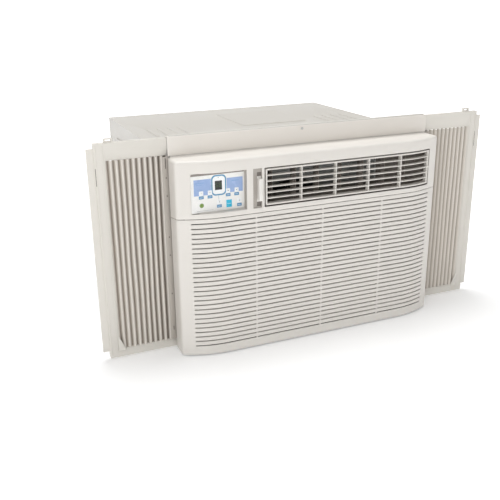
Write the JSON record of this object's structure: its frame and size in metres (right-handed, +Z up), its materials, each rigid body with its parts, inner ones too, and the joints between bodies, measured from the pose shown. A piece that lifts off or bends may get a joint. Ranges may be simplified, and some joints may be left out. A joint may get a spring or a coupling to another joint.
{
  "type": "window air conditioner",
  "caption": "Slide-in window air conditioner with a slotted tilting intake grille, louvred vent, recessed controls and pleated side curtains.",
  "frame": {"origin": "bottom centre of the whole unit's box, under the cabinet", "axes": "+X to the right of someone facing the front, -Y towards the room, +Z up"},
  "size_m": [1.016, 0.673, 0.508],
  "materials": {
    "case_paint": "semi-gloss baked enamel, warm light grey",
    "front_plastic": "fine satin moulded plastic, warm white",
    "curtain_plastic": "satin moulded plastic, warm white",
    "pleat_vinyl": "semi-rigid pleated vinyl sheet, satin",
    "zinc_steel": "galvanised sheet steel",
    "fin_aluminium": "thin bare fins and end plates",
    "copper_tube": "drawn copper refrigerant tube, lightly tarnished; brass stands in for copper",
    "black_paint": "black stoved enamel",
    "dark_plastic": "dark grey moulded plastic",
    "duct_foam": "expanded polystyrene bead foam",
    "filter_mesh": "fine woven plastic mesh in a moulded rim",
    "display_glass": "dark smoked window with faint green segments",
    "key_plastic": "pale membrane key",
    "circuit_board": "green fibreglass board",
    "capacitor_can": "drawn aluminium can",
    "rubber": "black rubber"
  },
  "bodies": {
    "cabinet": {"cabinet_sleeve": "case_paint", "rear_guard": "case_paint", "top_rail": "case_paint", "bottom_rail": "case_paint", "left_curtain_channel": "case_paint", "right_curtain_channel": "case_paint", "base_pan": "zinc_steel", "control_box": "zinc_steel", "bulkhead": "zinc_steel", "motor_stand": "zinc_steel", "fan_shroud": "zinc_steel", "left_pleats": "pleat_vinyl", "right_pleats": "pleat_vinyl", "front_housing": "front_plastic", "control_panel": "front_plastic", "grille_frame": "dark_plastic", "blower_inlet_plate": "dark_plastic", "cord_bushing": "rubber", "compressor_grommet_1": "rubber", "compressor_grommet_2": "rubber", "compressor_grommet_3": "rubber", "display_window": "display_glass", "control_board": "circuit_board", "run_capacitor": "capacitor_can", "air_duct": "duct_foam", "drain_pan": "duct_foam", "blower_scroll": "duct_foam", "evaporator_coil": "fin_aluminium", "condenser_coil": "fin_aluminium", "fan_motor": "black_paint", "compressor": "black_paint", "accumulator": "black_paint", "compressor_inlet_line": "copper_tube", "suction_line": "copper_tube", "discharge_line": "copper_tube", "capillary_line": "copper_tube"},
    "grille": {"intake_grille": "front_plastic", "air_filter": "filter_mesh"},
    "left_curtain": {"left_curtain_frame": "curtain_plastic"},
    "right_curtain": {"right_curtain_frame": "curtain_plastic"},
    "lattice": {"vent_lattice": "front_plastic"},
    "rotor": {"fan_shaft": "zinc_steel", "blower_wheel": "dark_plastic", "condenser_fan": "dark_plastic"},
    "lever": {"vent_lever": "front_plastic"},
    "fresh_air_door": {"vent_door": "dark_plastic"},
    "link_bar": {"vane_link": "dark_plastic"},
    "vertical_vane_1": {"vane_1": "dark_plastic"},
    "vertical_vane_2": {"vane_2": "dark_plastic"},
    "vertical_vane_3": {"vane_3": "dark_plastic"},
    "vertical_vane_4": {"vane_4": "dark_plastic"},
    "vertical_vane_5": {"vane_5": "dark_plastic"},
    "vertical_vane_6": {"vane_6": "dark_plastic"},
    "vertical_vane_7": {"vane_7": "dark_plastic"},
    "key_temp_down": {"button_temp_down": "key_plastic"},
    "key_temp_up": {"button_temp_up": "key_plastic"},
    "key_fan": {"button_fan": "key_plastic"},
    "key_mode": {"button_mode": "key_plastic"},
    "key_timer": {"button_timer": "key_plastic"},
    "key_power": {"button_power": "key_plastic"}
  },
  "joints": [
    {"name": "grille_tilt", "type": "hinge", "parent": "cabinet", "child": "grille", "pos_m": [0, -0.3195, 0.012], "axis": [1, 0, 0], "range_deg": [0, 25]},
    {"name": "left_curtain_slide", "type": "slide", "parent": "cabinet", "child": "left_curtain", "axis": [1, 0, 0], "range_m": [0, 0.085], "deforming": ["left_pleats"]},
    {"name": "right_curtain_slide", "type": "slide", "parent": "cabinet", "child": "right_curtain", "axis": [-1, 0, 0], "range_m": [0, 0.085], "deforming": ["right_pleats"]},
    {"name": "lattice_tilt", "type": "hinge", "parent": "cabinet", "child": "lattice", "pos_m": [0.0835, -0.3145, 0.3855], "axis": [1, 0, 0], "range_deg": [-15, 15]},
    {"name": "vane_1_swing", "type": "hinge", "parent": "cabinet", "child": "vertical_vane_1", "pos_m": [-0.101, -0.2705, 0.3855], "axis": [0, 0, 1], "range_deg": [-30, 30]},
    {"name": "vane_2_swing", "type": "hinge", "parent": "cabinet", "child": "vertical_vane_2", "pos_m": [-0.041, -0.2705, 0.3855], "axis": [0, 0, 1], "range_deg": [-30, 30]},
    {"name": "vane_3_swing", "type": "hinge", "parent": "cabinet", "child": "vertical_vane_3", "pos_m": [0.019, -0.2705, 0.3855], "axis": [0, 0, 1], "range_deg": [-30, 30]},
    {"name": "vane_4_swing", "type": "hinge", "parent": "cabinet", "child": "vertical_vane_4", "pos_m": [0.079, -0.2705, 0.3855], "axis": [0, 0, 1], "range_deg": [-30, 30]},
    {"name": "vane_5_swing", "type": "hinge", "parent": "cabinet", "child": "vertical_vane_5", "pos_m": [0.139, -0.2705, 0.3855], "axis": [0, 0, 1], "range_deg": [-30, 30]},
    {"name": "vane_6_swing", "type": "hinge", "parent": "cabinet", "child": "vertical_vane_6", "pos_m": [0.199, -0.2705, 0.3855], "axis": [0, 0, 1], "range_deg": [-30, 30]},
    {"name": "vane_7_swing", "type": "hinge", "parent": "cabinet", "child": "vertical_vane_7", "pos_m": [0.259, -0.2705, 0.3855], "axis": [0, 0, 1], "range_deg": [-30, 30]},
    {"name": "vane_link_slide", "type": "slide", "parent": "cabinet", "child": "link_bar", "axis": [1, 0, 0], "range_m": [-0.0073, 0.0073]},
    {"name": "lever_slide", "type": "slide", "parent": "cabinet", "child": "lever", "axis": [0, 0, 1], "range_m": [-0.013, 0.013]},
    {"name": "fresh_air_door_swing", "type": "hinge", "parent": "cabinet", "child": "fresh_air_door", "pos_m": [-0.1575, -0.0898, 0.3975], "axis": [1, 0, 0], "range_deg": [-30, 30]},
    {"name": "rotor_spin", "type": "hinge", "parent": "cabinet", "child": "rotor", "pos_m": [0.041, -0.0525, 0.2], "axis": [0, 1, 0], "continuous": true},
    {"name": "temp_down_press", "type": "slide", "parent": "cabinet", "child": "key_temp_down", "axis": [0, 1, 0], "range_m": [0, 0.0008], "stiffness_N_per_m": 500},
    {"name": "temp_up_press", "type": "slide", "parent": "cabinet", "child": "key_temp_up", "axis": [0, 1, 0], "range_m": [0, 0.0008], "stiffness_N_per_m": 500},
    {"name": "fan_press", "type": "slide", "parent": "cabinet", "child": "key_fan", "axis": [0, 1, 0], "range_m": [0, 0.0008], "stiffness_N_per_m": 500},
    {"name": "mode_press", "type": "slide", "parent": "cabinet", "child": "key_mode", "axis": [0, 1, 0], "range_m": [0, 0.0008], "stiffness_N_per_m": 500},
    {"name": "timer_press", "type": "slide", "parent": "cabinet", "child": "key_timer", "axis": [0, 1, 0], "range_m": [0, 0.0008], "stiffness_N_per_m": 500},
    {"name": "power_press", "type": "slide", "parent": "cabinet", "child": "key_power", "axis": [0, 1, 0], "range_m": [0, 0.0008], "stiffness_N_per_m": 500}
  ],
  "couplings": [
    {"joint": "vane_1_swing", "follows": "vane_link_slide", "rad_per_m": -71.4},
    {"joint": "vane_2_swing", "follows": "vane_link_slide", "rad_per_m": -71.4},
    {"joint": "vane_3_swing", "follows": "vane_link_slide", "rad_per_m": -71.4},
    {"joint": "vane_4_swing", "follows": "vane_link_slide", "rad_per_m": -71.4},
    {"joint": "vane_5_swing", "follows": "vane_link_slide", "rad_per_m": -71.4},
    {"joint": "vane_6_swing", "follows": "vane_link_slide", "rad_per_m": -71.4},
    {"joint": "vane_7_swing", "follows": "vane_link_slide", "rad_per_m": -71.4},
    {"joint": "fresh_air_door_swing", "follows": "lever_slide", "rad_per_m": -39.6}
  ]
}
